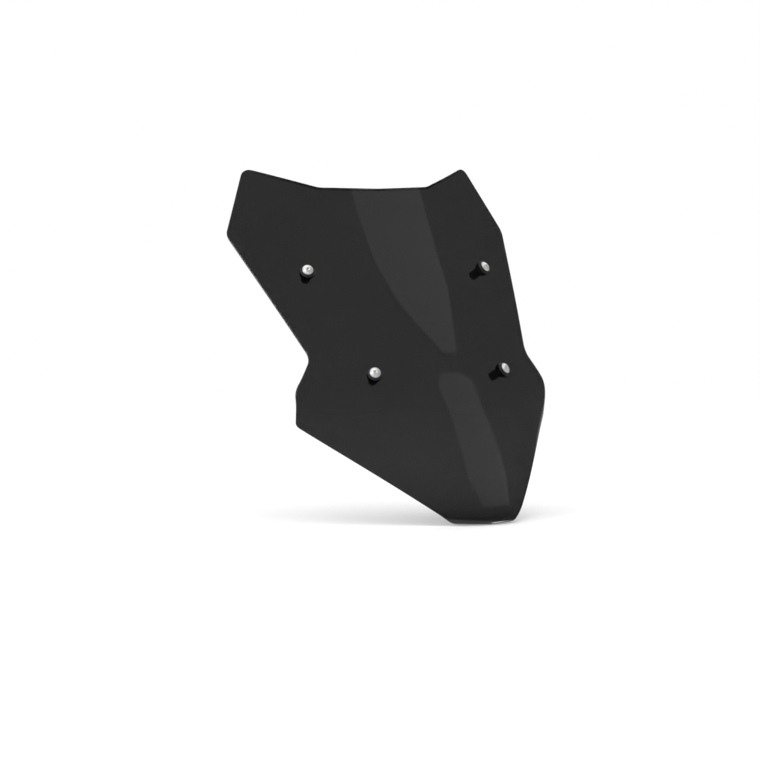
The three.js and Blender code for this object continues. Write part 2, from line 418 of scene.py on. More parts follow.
@dataclass(frozen=True)
class MouldedNylon:
    """Black nylon with the fine matt of a mould. Scales are pattern sizes to a metre."""

    base: Triple = (0.011, 0.011, 0.012)
    scuffed: Triple = (0.026, 0.026, 0.027)
    smooth: float = 0.36
    rough: float = 0.55
    scuff_scale: float = 330.0
    grain_scale: float = 2600.0
    grain_strength: float = 0.3
    grain_height: float = 0.00004

    def build(self) -> bpy.types.Material:
        """Lays fine grain, with paler scuffs in patches.

        Returns:
            The material.
        """
        g = material_graph("black_nylon")
        grain = g.noise(g.place(), self.grain_scale, 2.0)
        scuffs = g.noise(g.place(), self.scuff_scale, 4.0)
        return g.surface({
            "Base Color": g.tint(g.spread(scuffs, 0, 1, 0.45, 0.8), self.base, self.scuffed),
            "Roughness": g.spread(scuffs, self.smooth, self.rough),
            "Normal": g.bump(grain, self.grain_strength, self.grain_height),
        })


@dataclass(frozen=True)
class MouldedRubber:
    """Black rubber, matt, a little dusty in patches. Scales are pattern sizes to a metre."""

    name: str
    base: Triple
    dusty: Triple
    smooth: float = 0.7
    rough: float = 0.92
    sheen: float = 0.15
    cloud_scale: float = 170.0
    grain_scale: float = 1500.0
    grain_strength: float = 0.5
    grain_height: float = 0.00006

    def build(self) -> bpy.types.Material:
        """Lays coarse soft grain under a cloud of dust.

        Returns:
            The material.
        """
        g = material_graph(self.name)
        grain = g.noise(g.place(), self.grain_scale, 3.0)
        cloud = g.noise(g.place(), self.cloud_scale, 4.0)
        return g.surface({
            "Base Color": g.tint(g.spread(cloud, 0, 1, 0.4, 0.75), self.base, self.dusty),
            "Roughness": g.spread(cloud, self.smooth, self.rough),
            "Normal": g.bump(grain, self.grain_strength, self.grain_height),
            "Sheen Weight": self.sheen,
        })


class Finish(Enum):
    SMOKE = "smoked_acrylic"
    STAINLESS = "stainless"
    NYLON = "black_nylon"
    GROMMET = "grommet_rubber"
    ZINC = "zinc_steel"
    NUT_RUBBER = "well_nut_rubber"
    BRASS = "brass"


Finishes = dict[Finish, bpy.types.Material]


def build_finishes() -> Finishes:
    """Makes each finish once.

    Returns:
        The materials, by finish.
    """
    kinds = {
        Finish.SMOKE: SmokedAcrylic(),
        Finish.STAINLESS: TurnedMetal("stainless", (0.92, 0.91, 0.89), (0.82, 0.81, 0.8), 0.34, 0.5, 0.7),
        Finish.NYLON: MouldedNylon(),
        Finish.GROMMET: MouldedRubber("grommet_rubber", (0.008, 0.008, 0.009), (0.024, 0.024, 0.024)),
        Finish.ZINC: TurnedMetal("zinc_steel", (0.66, 0.68, 0.72), (0.5, 0.51, 0.53), 0.25, 0.42),
        Finish.NUT_RUBBER: MouldedRubber("well_nut_rubber", (0.01, 0.01, 0.01), (0.03, 0.029, 0.028)),
        Finish.BRASS: TurnedMetal("brass", (0.78, 0.56, 0.22), (0.5, 0.33, 0.12), 0.2, 0.4),
    }
    return {finish: kind.build() for finish, kind in kinds.items()}


# ------------------------------------------------------------------------------ the sheet
@dataclass(frozen=True)
class Corner:
    """A corner of the front outline: half width and height above the foot, with its radius."""

    half_width: float
    height: float
    radius: float = 0.0


@dataclass
class FormedSheet:
    """The formed and trimmed sheet.

    Its outer face is setback = centre line + curl * x^2 - ear flick + foot roll. The centre line is a
    cubic of height, the curl dies away from the nose upwards, the ears swing forward under a bell of
    height, and the foot rolls back as a parabola.
    """

    thickness: float = 3.0
    rim_radius: float = 0.9
    centre_line: Triple = (0.2899, 0.001913, -2.684e-6)
    curl_top: float = 0.0014646
    curl_nose: float = 0.0061775
    curl_fade: float = 90.4
    ear_depth: float = 9.0
    ear_inner: float = 100.0
    ear_outer: float = 160.0
    ear_height: float = 138.0
    ear_spread: float = 28.0
    foot_height: float = 16.0
    foot_radius: float = 24.0
    hole_radius: float = 6.05
    drill_length: float = 24.0
    drill_segments: int = 96
    corners: tuple[Corner, ...] = (
        Corner(0, 354.8),
        Corner(71, 356.4, 30),
        Corner(145, 377.7, 11),
        Corner(181.7, 305, 14),
        Corner(140.3, 174.6, 16),
        Corner(163, 140.5, 24),
        Corner(161.8, 103, 9),
        Corner(40.5, 1.4, 14),
        Corner(0, 0),
    )
    corner_steps: int = 40
    points_a_side: int = 300
    rings: int = 46
    last_ring: float = 0.975
    ring_crowding: float = 0.92
    rim_support: tuple[float, ...] = (2.2, 1.3)
    rim_steps: int = 6
    spine_top: float = 0.85
    spine_length: float = 0.70
    slope_step: float = 0.05
    skin_tolerance: float = 0.02
    stepping_rounds: int = 6
    origin: np.ndarray = field(default_factory=lambda: np.zeros(3))

    def setback(self, x: np.ndarray, z: np.ndarray) -> np.ndarray:
        """Depth of the outer face behind the foot's front, by the class's formula.

        Args:
            x: distance from the middle, with its sign.
            z: height above the foot.

        Returns:
            The depth, towards the rider.
        """
        a, b, c = self.centre_line
        t = np.clip((np.abs(x) - self.ear_inner) / (self.ear_outer - self.ear_inner), 0, 1)
        across = t * t * (3 - 2 * t)
        along = np.exp(-(((z - self.ear_height) / self.ear_spread) ** 2))
        curl = self.curl_top + self.curl_nose * np.exp(-z / self.curl_fade)
        roll = np.maximum(0, self.foot_height - z) ** 2 / (2 * self.foot_radius)
        return a * z + b * z**2 + c * z**3 + curl * x**2 - self.ear_depth * across * along + roll

    def outward(self, x: np.ndarray, z: np.ndarray) -> np.ndarray:
        """Unit normal of the outer face: the gradient of setback by central differences.

        Args:
            x: distance from the middle, with its sign.
            z: height above the foot.

        Returns:
            The normals, with x, y, z in the last axis.
        """
        h = self.slope_step
        gx = (self.setback(x + h, z) - self.setback(x - h, z)) / (2 * h)
        gz = (self.setback(x, z + h) - self.setback(x, z - h)) / (2 * h)
        return unit(np.stack([gx, -np.ones_like(gx), gz], -1))

    def points(self, x: np.ndarray, z: np.ndarray, depth: np.ndarray) -> np.ndarray:
        """Places in the row frame at a depth under the outer face, along its normal."""
        face = np.stack([x, self.setback(x, z), z], -1)
        return face - self.outward(x, z) * depth[..., None] - self.origin

    def half_outline(self) -> np.ndarray:
        """Outline on the +X side from the middle of the top to the middle of the foot.

        Each corner is an arc tangent to both sides, and the whole path is sampled at equal lengths.

        Returns:
            Distance from the middle and height of each point.
        """
        c = np.array([[p.half_width, p.height] for p in self.corners], float)
        path = [c[:1]]
        for i in range(1, len(c) - 1):
            a, b = unit(c[i - 1] - c[i]), unit(c[i + 1] - c[i])
            half = math.acos(float(a @ b)) / 2
            radius = self.corners[i].radius
            centre = c[i] + unit(a + b) * radius / math.sin(half)
            reach = radius / math.tan(half)
            start, end = c[i] + a * reach - centre, c[i] + b * reach - centre
            turn = math.atan2(start[0] * end[1] - start[1] * end[0], float(start @ end))
            angle = np.linspace(0, turn, self.corner_steps)
            x = start[0] * np.cos(angle) - start[1] * np.sin(angle)
            z = start[0] * np.sin(angle) + start[1] * np.cos(angle)
            path.append(np.stack([x, z], -1) + centre)
        path.append(c[-1:])
        line = np.concatenate(path)
        return points_at(line, np.linspace(0, lengths_along(line)[-1], self.points_a_side + 1))

    def section(self) -> tuple[np.ndarray, np.ndarray, np.ndarray]:
        """The path from the spine out over the outer face, round the rim and back to the spine.

        Returns:
            Share of the spoke, inset from the rim and depth, one of each for every ring.
        """
        reach = np.linspace(0, self.last_ring, self.rings) ** self.ring_crowding
        support = np.array(self.rim_support)
        quarter = np.linspace(0, TURN / 4, self.rim_steps)
        rim_inset = self.rim_radius * (1 - np.sin(quarter))
        rim_depth = self.rim_radius * (1 - np.cos(quarter))
        inset = np.concatenate([np.zeros(self.rings), support, rim_inset])
        share = np.concatenate([reach, np.ones(len(support) + len(quarter))])
        depth = np.concatenate([np.zeros(self.rings + len(support)), rim_depth])
        return (
            np.concatenate([share, share[::-1]]),
            np.concatenate([inset, inset[::-1]]),
            np.concatenate([depth, (self.thickness - depth)[::-1]]),
        )

    def blank(self) -> bpy.types.Object:
        """The trimmed sheet before its holes: outline points by section rings, as one closed skin.

        Each outline point has a spoke to its own point of the spine, a stretch of the centre line, and
        each ring stands at its share of the spoke, less its inset from the rim.

        Returns:
            The object.
        """
        half = self.half_outline()
        rim = np.concatenate([half, half[-2:0:-1] * [-1, 1]])
        n = self.points_a_side
        step = np.concatenate([np.arange(n + 1), np.arange(n - 1, 0, -1)]) / n
        top = self.corners[0].height
        spine = np.stack([np.zeros_like(step), top * (self.spine_top - self.spine_length * step)], -1)
        tangent = unit(np.roll(rim, -1, axis=0) - np.roll(rim, 1, axis=0))
        inward = np.stack([tangent[:, 1], -tangent[:, 0]], -1)
        inward *= np.sign(np.sum(inward * (spine - rim), -1, keepdims=True))
        share, inset, depth = self.section()
        flat = spine[:, None] + (rim - spine)[:, None] * share[None, :, None]
        flat = flat + inward[:, None] * inset[None, :, None]
        x, z = flat[..., 0], flat[..., 1]
        x[np.abs(x) < ROUNDING] = 0.0
        solid = self.points(x, z, np.broadcast_to(depth, x.shape))
        return mesh_object("sheet_smoked", solid.reshape(-1, 3), grid_faces(len(rim), len(share)))

    def bore(self, sheet: bpy.types.Object, frames: Sequence[np.ndarray]) -> None:
        """Cuts the round holes for the grommets along the local normals.

        Args:
            sheet: the blank, whose mesh is changed.
            frames: the fixings' frames.
        """
        mesh = bpy.data.meshes.new("drill")
        work = bmesh.new()
        radius = self.hole_radius * MM
        for frame in frames:
            matrix = np.eye(4)
            matrix[:3, :3] = frame[:3, :3]
            matrix[:3, 3] = frame[:3, 3] * MM
            drill = {"radius1": radius, "radius2": radius, "depth": self.drill_length * MM}
            made = bmesh.ops.create_cone(work, cap_ends=True, segments=self.drill_segments, **drill)
            bmesh.ops.transform(work, matrix=Matrix(matrix.tolist()), verts=made["verts"])
        work.to_mesh(mesh)
        work.free()
        cutter = add_object("drill", mesh)
        cut = sheet.modifiers.new("holes", "BOOLEAN")
        cut.operation, cut.solver, cut.object = "DIFFERENCE", "EXACT", cutter
        bored = bpy.data.meshes.new_from_object(sheet.evaluated_get(bpy.context.evaluated_depsgraph_get()))
        sheet.modifiers.clear()
        sheet.data = bored
        bpy.data.objects.remove(cutter)

    def true_normals(self, sheet: bpy.types.Object) -> None:
        """Shades both faces by the exact surface.

        A corner on the outer or the inner skin takes the formula's normal there, unless its face turns
        away from it, as on the rim and in the holes, which keep their own. The point of the outer face
        over a point of the inner one is found by stepping out along the normal a few times.

        Args:
            sheet: the bored sheet, whose shading is changed.
        """
        away = 0.8  # cosine between a face and a normal, under which the face keeps its own
        mesh = sheet.data
        x, y, z = (read(mesh.vertices, "co", 3) / MM + self.origin).T
        over_x, over_z = x, z
        for _ in range(self.stepping_rounds):
            n = self.outward(over_x, over_z)
            over_x, over_z = x + n[:, 0] * self.thickness, z + n[:, 2] * self.thickness
        over = self.outward(over_x, over_z)
        inner_face = self.setback(over_x, over_z) - over[:, 1] * self.thickness
        on_outer = np.abs(self.setback(x, z) - y) < self.skin_tolerance
        on_inner = np.abs(inner_face - y) < self.skin_tolerance
        normal = read(mesh.vertices, "normal", 3)
        normal[on_outer] = self.outward(x[on_outer], z[on_outer])
        normal[on_inner] = -over[on_inner]
        vertex_of = read(mesh.loops, "vertex_index", 1, np.int32)[:, 0]
        corners_of = read(mesh.polygons, "loop_total", 1, np.int32)[:, 0]
        flat = np.repeat(read(mesh.polygons, "normal", 3), corners_of, axis=0)
        facing = np.sum(flat * normal[vertex_of], -1, keepdims=True)
        mesh.normals_split_custom_set(np.where(facing > away, normal[vertex_of], flat).tolist())

    def build(self, frames: Sequence[np.ndarray], finishes: Finishes) -> bpy.types.Object:
        """Makes, bores, shades and dresses the sheet.

        Args:
            frames: the fixings' frames.
            finishes: the materials.

        Returns:
            The piece.
        """
        sheet = self.blank()
        self.bore(sheet, frames)
        self.true_normals(sheet)
        return finish_piece(sheet, finishes[Finish.SMOKE], ["screen_panel"])


# ------------------------------------------------------------------------------ the fixings
def filleted(points: Sequence[Triple], steps: int = 4) -> np.ndarray:
    """Rounds a closed profile.

    Args:
        points: radius, height and fillet of each corner, in order round the profile. No fillet, 0,
            keeps the corner.
        steps: points along each fillet.

    Returns:
        The closed profile, its first point repeated at the end: each fillet is a quadratic curve
        from one side to the other with the corner as its control point.
    """
    c = np.array([p[:2] for p in points], float)
    made = []
    for i, (_, _, fillet) in enumerate(points):
        if fillet <= 0:
            made.append(c[i : i + 1])
            continue
        before, after = unit(c[i - 1] - c[i]), unit(c[(i + 1) % len(c)] - c[i])
        t = np.linspace(0, 1, steps + 1)[:, None]
        a, b = c[i] + before * fillet, c[i] + after * fillet
        made.append((1 - t) ** 2 * a + 2 * t * (1 - t) * c[i] + t**2 * b)
    line = np.concatenate(made)
    return np.concatenate([line, line[:1]])


def stepped(profile: np.ndarray, longest: float) -> np.ndarray:
    """Adds points to a profile, so that no step along it is longer than a limit.

    Args:
        profile: radius and height of each point.
        longest: the longest step that may stay, mm.

    Returns:
        The profile with its own points and the added ones, in order.
    """
    along = lengths_along(profile)
    return points_at(profile, np.union1d(along, np.arange(0, along[-1], longest)))


def turned(
    name: str, profile: np.ndarray, frame: np.ndarray, segments: int = 72, shape: Shaper | None = None
) -> bpy.types.Object:
    """Carries a profile round the fixing's axis.

    Args:
        name: the piece's name.
        profile: radius and height of each point; it closes on itself or ends on the axis.
        frame: the fixing's frame, axes in the first three columns and place in the fourth.
        segments: steps round the axis.
        shape: changes the radius by angle, height and radius, or None for a plain lathe shape.

    Returns:
        The object, with a UV map of turns round the axis and millimetres along the profile.
    """
    turns = np.arange(segments)[:, None] / segments
    angle = np.linspace(0, TURN, segments, endpoint=False)[:, None]
    radius = np.broadcast_to(profile[:, 0], (segments, len(profile)))
    height = np.broadcast_to(profile[:, 1], radius.shape)
    if shape is not None:
        radius = shape(angle, height, radius)
    local = np.stack([radius * np.cos(angle), radius * np.sin(angle), height], -1)
    placed = local @ frame[:3, :3].T + frame[:3, 3]
    along = lengths_along(profile)
    corners = [(turns, along[:-1]), (turns + 1 / segments, along[:-1]), (turns + 1 / segments, along[1:])]
    corners.append((turns, along[1:]))
    uv = np.stack([np.stack(np.broadcast_arrays(u, v), -1) for u, v in corners], 2)
    return mesh_object(name, placed.reshape(-1, 3), grid_faces(segments, len(profile)), uv.reshape(-1, 2))


@dataclass
class Stack:
    """One fixing: screw, washer, grommet, collar, well nut and its insert, along one axis.

    Heights are measured out from the outer face of the sheet. A skin is how far under a piece's
    outside its pattern still reaches.
    """

    name: str
    frame: np.ndarray
    sheet: float = 3.0
    thread: float = 2.45
    pitch: float = 0.8
    thread_depth: float = 0.44
    thread_steps: int = 8
    run_out: int = 6
    tip_chamfer: float = 0.75
    screw_length: float = 20.0
    head_flange: float = 5.9
    head_flange_thickness: float = 0.8
    head: float = 4.75
    head_height: float = 2.75
    crown_angle: float = 64.0
    crown_share: float = 0.93
    crown_steps: int = 18
    hex_flats: float = 3.0
    hex_depth: float = 1.7
    hex_mouth: float = 2.05
    collar_wall: float = 1.2
    seam_depth: float = 0.15
    seam_width: float = 0.06
    grommet_wall: float = 1.5
    grommet_flange: float = 7.8
    grommet_flange_thickness: float = 1.0
    grommet_lip: float = 0.45
    washer: float = 7.3
    washer_thickness: float = 1.0
    nut_flange: float = 8.0
    nut_flange_thickness: float = 1.4
    nut_body: float = 4.9
    nut_length: float = 13.0
    flutes: int = 8
    flute_depth: float = 0.16
    flute_margin: float = 1.0
    flute_fade: float = 1.5
    flute_step: float = 0.8
    insert_wall: float = 0.9
    insert_length: float = 8.0
    knurl_band: float = 2.6
    groove_depth: float = 0.3
    knurls: int = 30
    knurl_depth: float = 0.08
    knurl_skin: float = 0.1
    segments: int = 96
    knurl_segments: int = 180
    outer_skin: float = 0.3

    def __post_init__(self) -> None:
        """Works out the radii and heights that follow from the stated sizes."""
        self.bore = self.thread + GAP
        self.collar = self.bore + self.collar_wall
        self.grommet_bore = self.collar + GAP
        self.grommet_neck = self.grommet_bore + self.grommet_wall
        self.grommet_out = GAP + self.grommet_flange_thickness
        self.grommet_in = -self.sheet - GAP - self.grommet_flange_thickness
        self.collar_out = self.grommet_out + GAP / 2
        self.collar_in = self.grommet_in - GAP / 2
        self.washer_back = self.collar_out + GAP
        self.head_seat = self.washer_back + self.washer_thickness + GAP
        self.nut_front = self.collar_in - GAP
        self.nut_seat = self.nut_front - self.nut_flange_thickness
        self.nut_end = self.nut_seat - self.nut_length
        self.insert = self.bore + self.insert_wall

    def screw_profile(self) -> tuple[np.ndarray, int, int]:
        """Profile of the screw from the middle of the socket's floor, over the head and down to the tip.

        The crown is an ellipse's arc. The small steps ease the socket, the flange's edge and the tip.

        Returns:
            The profile, the number of its points that belong to the socket, and the index where the
            thread begins.
        """
        seat, flange, thread = self.head_seat, self.head_flange, self.thread
        top = seat + self.head_height
        rim = seat + self.head_flange_thickness
        floor = top - self.hex_depth
        hexagon = self.hex_flats / 2
        socket = [[0.0, floor - 0.55], [0.5, floor - 0.35]]
        socket += [[hexagon * 0.96, floor], [hexagon, floor + 0.08]]
        socket += [[hexagon, floor + (top - floor - 0.28) * share] for share in (0.4, 0.8, 1.0)]
        lip = [[self.hex_mouth - 0.1, top - 0.05], [self.hex_mouth + 0.08, top - 0.005]]
        crown = math.radians(self.crown_angle)
        rise = np.linspace(crown * self.crown_share, 0, self.crown_steps)
        dome = np.stack([self.head * np.cos(rise), rim + (top - rim) * np.sin(rise) / math.sin(crown)], -1)
        skirt = [[self.head + 0.06, rim - 0.02], [self.head + 0.28, rim - 0.06]]
        skirt += [[flange - 0.35, rim - 0.1], [flange - 0.12, rim - 0.17], [flange, rim - 0.34]]
        skirt += [[flange, seat + 0.2], [flange - 0.06, seat + 0.05], [flange - 0.2, seat]]
        skirt += [[thread + 0.35, seat], [thread, seat - 0.05]]
        tip = seat - self.screw_length
        run = np.arange(seat - 0.4, tip + self.tip_chamfer, -self.pitch / self.thread_steps)
        shank = np.stack([np.full_like(run, thread), run], -1)
        end = [[thread - 0.35, tip + 0.35], [thread - self.tip_chamfer, tip], [0.0, tip]]
        head = np.concatenate([socket, lip, dome, skirt])
        return np.concatenate([head, shank, end]), len(socket), len(head)

    def screw(self, finish: bpy.types.Material) -> bpy.types.Object:
        """Flanged button-head screw.

        The socket's radius follows a hexagon, apothem / cos(angle from the nearest flat), and the
        shank's follows a helical thread, a triangle wave of height and angle.

        Args:
            finish: its material.

        Returns:
            The piece.
        """
        profile, socket, thread = self.screw_profile()
        end = len(profile) - 3  # the tip's own three points
        index = np.arange(len(profile))[::-1]  # counted from the head, though turned from the tip

        def shape(angle: np.ndarray, height: np.ndarray, radius: np.ndarray) -> np.ndarray:
            """Radius of the screw.

            Args:
                angle: angle round the axis.
                height: height on the axis.
                radius: radius of the plain profile.

            Returns:
                The radius with the hexagon and the thread.
            """
            off = (angle + TURN / 12) % (TURN / 6) - TURN / 12
            wave = np.abs(((height / self.pitch - angle / TURN) % 1) * 2 - 1)
            ease = np.clip(np.minimum(index - thread, end - index) / self.run_out, 0, 1)
            in_socket = (index > 1) & (index < socket)
            in_thread = (index >= thread) & (index < end)
            plain = np.where(in_thread, radius - self.thread_depth * wave * ease, radius)
            return np.where(in_socket, radius / np.cos(off), plain)

        piece = turned(f"{self.name}_screw_turned", profile[::-1], self.frame, self.segments, shape)
        return finish_piece(piece, finish, [f"{self.name}_screw"])

    def washer_piece(self, finish: bpy.types.Material) -> bpy.types.Object:
        """Nylon washer with a rounded outer edge and a shallow raised ring.

        Args:
            finish: its material.

        Returns:
            The piece.
        """
        low, high = self.washer_back, self.washer_back + self.washer_thickness
        profile = filleted([
            (self.bore, low, 0.1),
            (self.washer, low, 0.15),
            (self.washer, high - 0.12, 0.3),
            (self.washer - 0.55, high, 0.2),
            (self.bore + 0.3, high, 0.1),
            (self.bore, high - 0.2, 0.08),
        ])
        piece = turned(f"{self.name}_washer_moulded", profile, self.frame)
        return finish_piece(piece, finish, [f"{self.name}_nylon_washer"])

    def grommet_piece(self, finish: bpy.types.Material) -> bpy.types.Object:
        """Grommet: a neck through the sheet between two flanges with soft lips.

        Args:
            finish: its material.

        Returns:
            The piece.
        """
        back = -self.sheet - GAP
        flange, neck, lip = self.grommet_flange, self.grommet_neck, self.grommet_lip
        profile = filleted([
            (self.grommet_bore, self.grommet_in, 0.15),
            (flange - 0.2, self.grommet_in, 0.4),
            (flange, self.grommet_in + lip, 0.3),
            (flange, back, 0.12),
            (neck, back, 0.1),
            (neck, GAP, 0.1),
            (flange, GAP, 0.12),
            (flange, self.grommet_out - lip, 0.3),
            (flange - 0.2, self.grommet_out, 0.4),
            (self.grommet_bore, self.grommet_out, 0.15),
        ])
        piece = turned(f"{self.name}_grommet_moulded", profile, self.frame)
        return finish_piece(piece, finish, [f"{self.name}_grommet"])

    def collar_piece(self, finish: bpy.types.Material) -> bpy.types.Object:
        """Collar: a plain tube with eased ends and a fine groove for its seam.

        Args:
            finish: its material.

        Returns:
            The piece.
        """
        profile = filleted([
            (self.bore, self.collar_in, 0.15),
            (self.collar, self.collar_in, 0.25),
            (self.collar, self.collar_out, 0.25),
            (self.bore, self.collar_out, 0.15),
        ])

        def seam(angle: np.ndarray, height: np.ndarray, radius: np.ndarray) -> np.ndarray:
            """A narrow groove along the outside, a bell of angle, where the rolled tube closes."""
            close = np.exp(-(((angle - TURN / 2) / self.seam_width) ** 2))
            return radius - self.seam_depth * close * (radius > self.collar - self.outer_skin)

        piece = turned(f"{self.name}_collar_turned", profile, self.frame, self.segments, seam)
        return finish_piece(piece, finish, [f"{self.name}_collar"])

    def nut_piece(self, finish: bpy.types.Material) -> bpy.types.Object:
        """Rubber well nut: flange, slim body with shallow moulded flutes and an open pocket at its end.

        Args:
            finish: its material.

        Returns:
            The piece.
        """
        pocket = self.insert + GAP
        pocket_front = self.nut_end + self.insert_length + 2 * GAP
        profile = filleted([
            (self.bore, pocket_front, 0.15),
            (pocket, pocket_front, 0.15),
            (pocket, self.nut_end, 0.12),
            (self.nut_body, self.nut_end, 0.45),
            (self.nut_body, self.nut_end + self.nut_length / 2, 0),
            (self.nut_body, self.nut_seat, 0.3),
            (self.nut_flange, self.nut_seat, 0.25),
            (self.nut_flange, self.nut_front - 0.5, 0.3),
            (self.nut_flange - 0.4, self.nut_front, 0.4),
            (self.bore, self.nut_front, 0.2),
        ])

        def fluted(angle: np.ndarray, height: np.ndarray, radius: np.ndarray) -> np.ndarray:
            """Flutes: a cosine of the angle, fading to nothing at the flange and at the end.

            Args:
                angle: angle round the axis.
                height: height on the axis.
                radius: radius of the plain profile.

            Returns:
                The radius with the flutes.
            """
            from_end = np.clip((height - self.nut_end - self.flute_margin) / self.flute_fade, 0, 1)
            from_seat = np.clip((self.nut_seat - self.flute_margin - height) / self.flute_fade, 0, 1)
            wave = (1 - np.cos(self.flutes * angle)) / 2
            outside = radius > self.nut_body - self.outer_skin
            return radius - self.flute_depth * wave * from_end * from_seat * outside

        fine = stepped(profile, self.flute_step)
        piece = turned(f"{self.name}_well_nut_moulded", fine, self.frame, self.segments, fluted)
        return finish_piece(piece, finish, [f"{self.name}_well_nut_rubber"])

    def insert_piece(self, finish: bpy.types.Material) -> bpy.types.Object:
        """Brass insert: a tube with two bands of straight knurl that key it into the rubber.

        Args:
            finish: its material.

        Returns:
            The piece.
        """
        low = self.nut_end + GAP
        high = low + self.insert_length
        groove, band = self.insert - self.groove_depth, self.knurl_band
        profile = filleted([
            (self.bore, low + 0.25, 0.1),
            (self.bore + 0.3, low, 0.1),
            (self.insert, low, 0.2),
            (self.insert, low + band, 0.1),
            (groove, low + band + self.groove_depth, 0.1),
            (groove, high - band - self.groove_depth, 0.1),
            (self.insert, high - band, 0.1),
            (self.insert, high, 0.2),
            (self.bore + 0.3, high, 0.1),
            (self.bore, high - 0.25, 0.1),
        ])

        def knurled(angle: np.ndarray, height: np.ndarray, radius: np.ndarray) -> np.ndarray:
            """Knurl: a cosine of the angle on the wide bands."""
            wave = (1 - np.cos(self.knurls * angle)) / 2
            return radius - self.knurl_depth * wave * (radius > self.insert - self.knurl_skin)

        piece = turned(f"{self.name}_insert_turned", profile, self.frame, self.knurl_segments, knurled)
        return finish_piece(piece, finish, [f"{self.name}_well_nut_insert"])

    def build(self, finishes: Finishes) -> list[bpy.types.Object]:
        """Makes and dresses the six pieces of the stack.

        Args:
            finishes: the materials.

        Returns:
            The pieces, from the wind side to the rider's.
        """
        return [
            self.screw(finishes[Finish.STAINLESS]),
            self.washer_piece(finishes[Finish.NYLON]),
            self.grommet_piece(finishes[Finish.GROMMET]),
            self.collar_piece(finishes[Finish.ZINC]),
            self.nut_piece(finishes[Finish.NUT_RUBBER]),
            self.insert_piece(finishes[Finish.BRASS]),
        ]


def fixing_frame(sheet: FormedSheet, x: float, z: float) -> np.ndarray:
    """Frame of a fixing: place on the outer face and the shortest turn that takes +Z to its normal.

    Args:
        sheet: the formed sheet.
        x: half width with its sign.
        z: height above the foot.

    Returns:
        Three rows of axes and place.
    """
    normal = sheet.outward(np.array(x), np.array(z))
    place = sheet.points(np.array(x), np.array(z), np.array(0.0))
    turn = Vector((0, 0, 1)).rotation_difference(Vector(normal.tolist())).to_matrix()
    return np.concatenate([np.array(turn), place[:, None]], axis=1)


@dataclass
class Fixings:
    """The four fixings and where they stand on the sheet, as half width and height above the foot."""

    upper: tuple[float, float] = (115.0, 266.0)
    lower: tuple[float, float] = (83.4, 158.1)

    def frames(self, sheet: FormedSheet) -> dict[str, np.ndarray]:
        """Frames of the fixings.

        Args:
            sheet: the formed sheet.

        Returns:
            Each frame by name, from the rider's side: left is +X.
        """
        made = {}
        for level, (x, z) in (("upper", self.upper), ("lower", self.lower)):
            made[f"{level}_left"] = fixing_frame(sheet, x, z)
            made[f"{level}_right"] = fixing_frame(sheet, -x, z)
        return made

    def row_origin(self, sheet: FormedSheet) -> np.ndarray:
        """Finds the origin of the row frame.

        Args:
            sheet: the formed sheet, its own origin still at the foot.

        Returns:
            Midway between the lower fixings, on the plane through the centres of their seating faces.
        """
        seat = Stack("seat", np.zeros((3, 4))).nut_seat
        x, z = self.lower
        point = sheet.points(np.array(x), np.array(z), np.array(-seat))
        return np.array([0.0, point[1], point[2]])


# ------------------------------------------------------------------------------ the studio
@dataclass(frozen=True)
class Lamp:
    """A square soft lamp that points at the origin: place and side in metres, power in watts."""

    name: str
    place: Triple
    side: float
    watts: float


